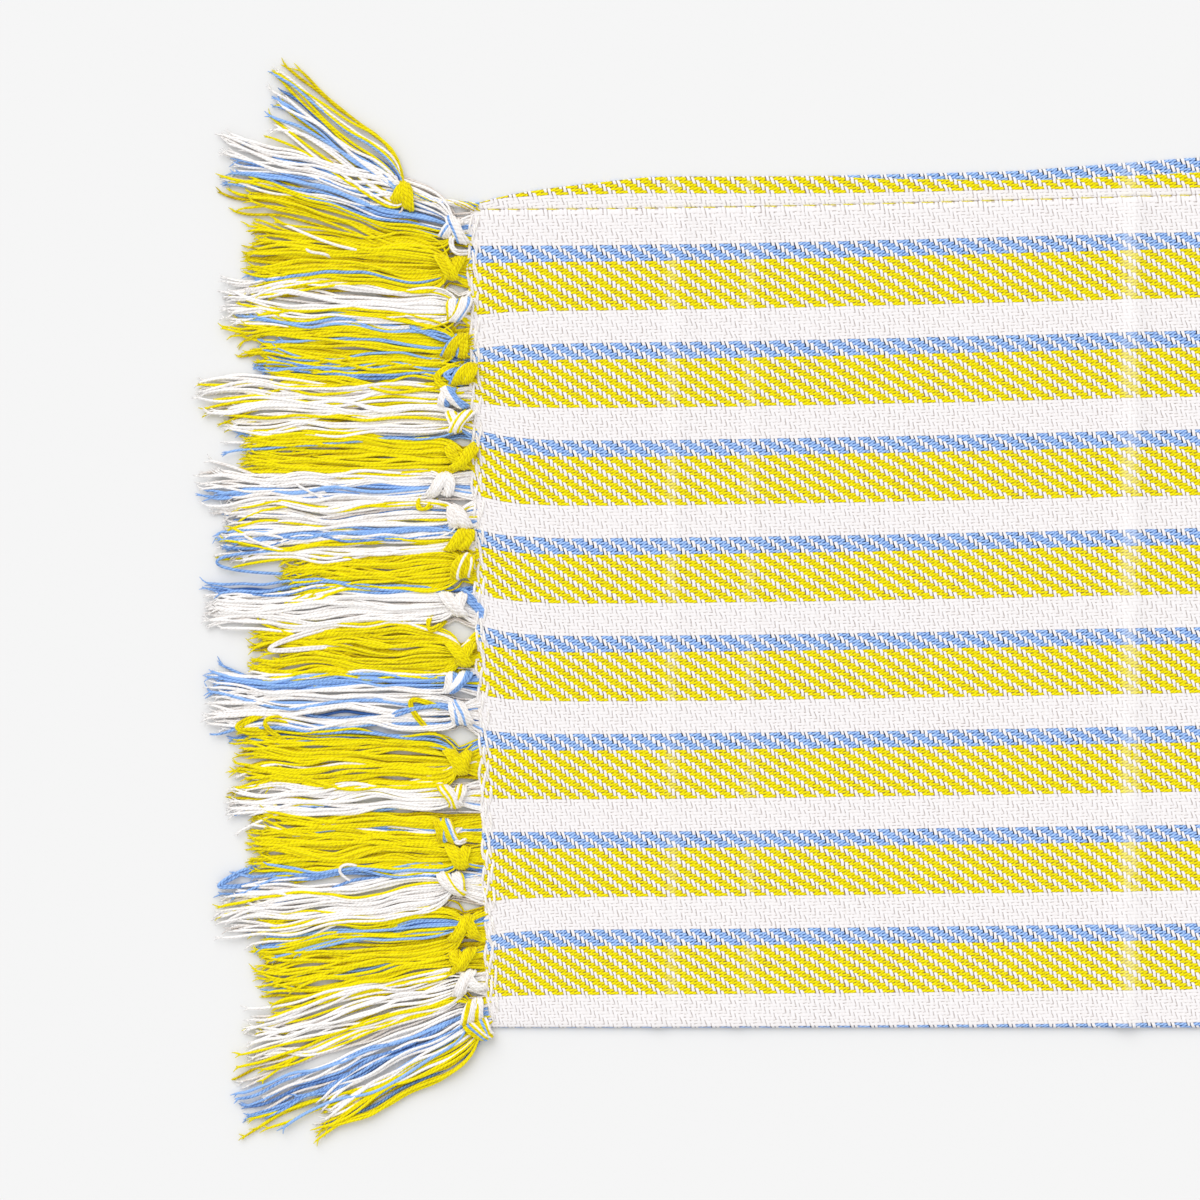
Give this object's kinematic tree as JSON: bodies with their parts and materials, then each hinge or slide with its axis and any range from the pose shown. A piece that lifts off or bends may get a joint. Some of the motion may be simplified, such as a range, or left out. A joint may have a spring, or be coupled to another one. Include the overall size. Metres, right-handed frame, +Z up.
{
  "type": "runner rug",
  "caption": "Flat woven runner rug, striped along its length, with one long edge tucked under and a row of knotted tassels at each end; it folds in half across its middle.",
  "frame": {"origin": "on the floor under the middle of the whole rug, tassels included", "axes": "+X along the rug towards its right end, +Y across it towards the tucked long edge, +Z up from the floor"},
  "size_m": [1.502, 0.5438, 0.0106],
  "materials": {
    "cloth": "striped cotton twill, yellow, blue and off-white",
    "band": "the same cotton twill, tucked under and out again",
    "pick": "off-white plied cotton yarn",
    "tassel_yellow": "lemon yellow plied cotton yarns, frayed tips",
    "tassel_white": "off-white plied cotton yarns with a few yellow ones, frayed tips",
    "tassel_mixed": "blue, yellow and off-white plied cotton yarns, frayed tips"
  },
  "bodies": {
    "left_half": {"cloth_left_half": "cloth", "edge_band_left": "band", "edge_pick_left": "pick"},
    "right_half": {"cloth_right_half": "cloth", "edge_band_right": "band", "edge_pick_right": "pick"},
    "fringe_left": {"tassel_left_01": "tassel_mixed", "tassel_left_02": "tassel_mixed", "tassel_left_03": "tassel_yellow", "tassel_left_04": "tassel_white", "tassel_left_05": "tassel_yellow", "tassel_left_06": "tassel_mixed", "tassel_left_07": "tassel_white", "tassel_left_08": "tassel_mixed", "tassel_left_09": "tassel_yellow", "tassel_left_10": "tassel_white", "tassel_left_11": "tassel_white", "tassel_left_12": "tassel_yellow", "tassel_left_13": "tassel_yellow", "tassel_left_14": "tassel_white", "tassel_left_15": "tassel_yellow", "tassel_left_16": "tassel_mixed", "tassel_left_17": "tassel_white", "tassel_left_18": "tassel_yellow", "tassel_left_19": "tassel_white", "tassel_left_20": "tassel_yellow", "tassel_left_21": "tassel_yellow", "tassel_left_22": "tassel_white", "tassel_left_23": "tassel_mixed", "tassel_left_24": "tassel_yellow", "tassel_left_25": "tassel_white", "tassel_left_26": "tassel_mixed", "tassel_left_27": "tassel_mixed"},
    "fringe_right": {"tassel_right_01": "tassel_mixed", "tassel_right_02": "tassel_mixed", "tassel_right_03": "tassel_yellow", "tassel_right_04": "tassel_white", "tassel_right_05": "tassel_yellow", "tassel_right_06": "tassel_mixed", "tassel_right_07": "tassel_white", "tassel_right_08": "tassel_mixed", "tassel_right_09": "tassel_yellow", "tassel_right_10": "tassel_white", "tassel_right_11": "tassel_white", "tassel_right_12": "tassel_yellow", "tassel_right_13": "tassel_yellow", "tassel_right_14": "tassel_white", "tassel_right_15": "tassel_yellow", "tassel_right_16": "tassel_mixed", "tassel_right_17": "tassel_white", "tassel_right_18": "tassel_yellow", "tassel_right_19": "tassel_white", "tassel_right_20": "tassel_yellow", "tassel_right_21": "tassel_yellow", "tassel_right_22": "tassel_white", "tassel_right_23": "tassel_mixed", "tassel_right_24": "tassel_yellow", "tassel_right_25": "tassel_white", "tassel_right_26": "tassel_mixed", "tassel_right_27": "tassel_mixed"}
  },
  "joints": [
    {"name": "fold_middle", "type": "hinge", "parent": "left_half", "child": "right_half", "pos_m": [0, 0, 0.0028], "axis": [0, -1, 0], "range_deg": [0, 175]},
    {"name": "fringe_left_droop", "type": "hinge", "parent": "left_half", "child": "fringe_left", "pos_m": [-0.61515, 0, 0], "axis": [0, -1, 0], "range_deg": [0, 90]},
    {"name": "fringe_right_droop", "type": "hinge", "parent": "right_half", "child": "fringe_right", "pos_m": [0.61515, 0, 0], "axis": [0, 1, 0], "range_deg": [0, 90]}
  ]
}
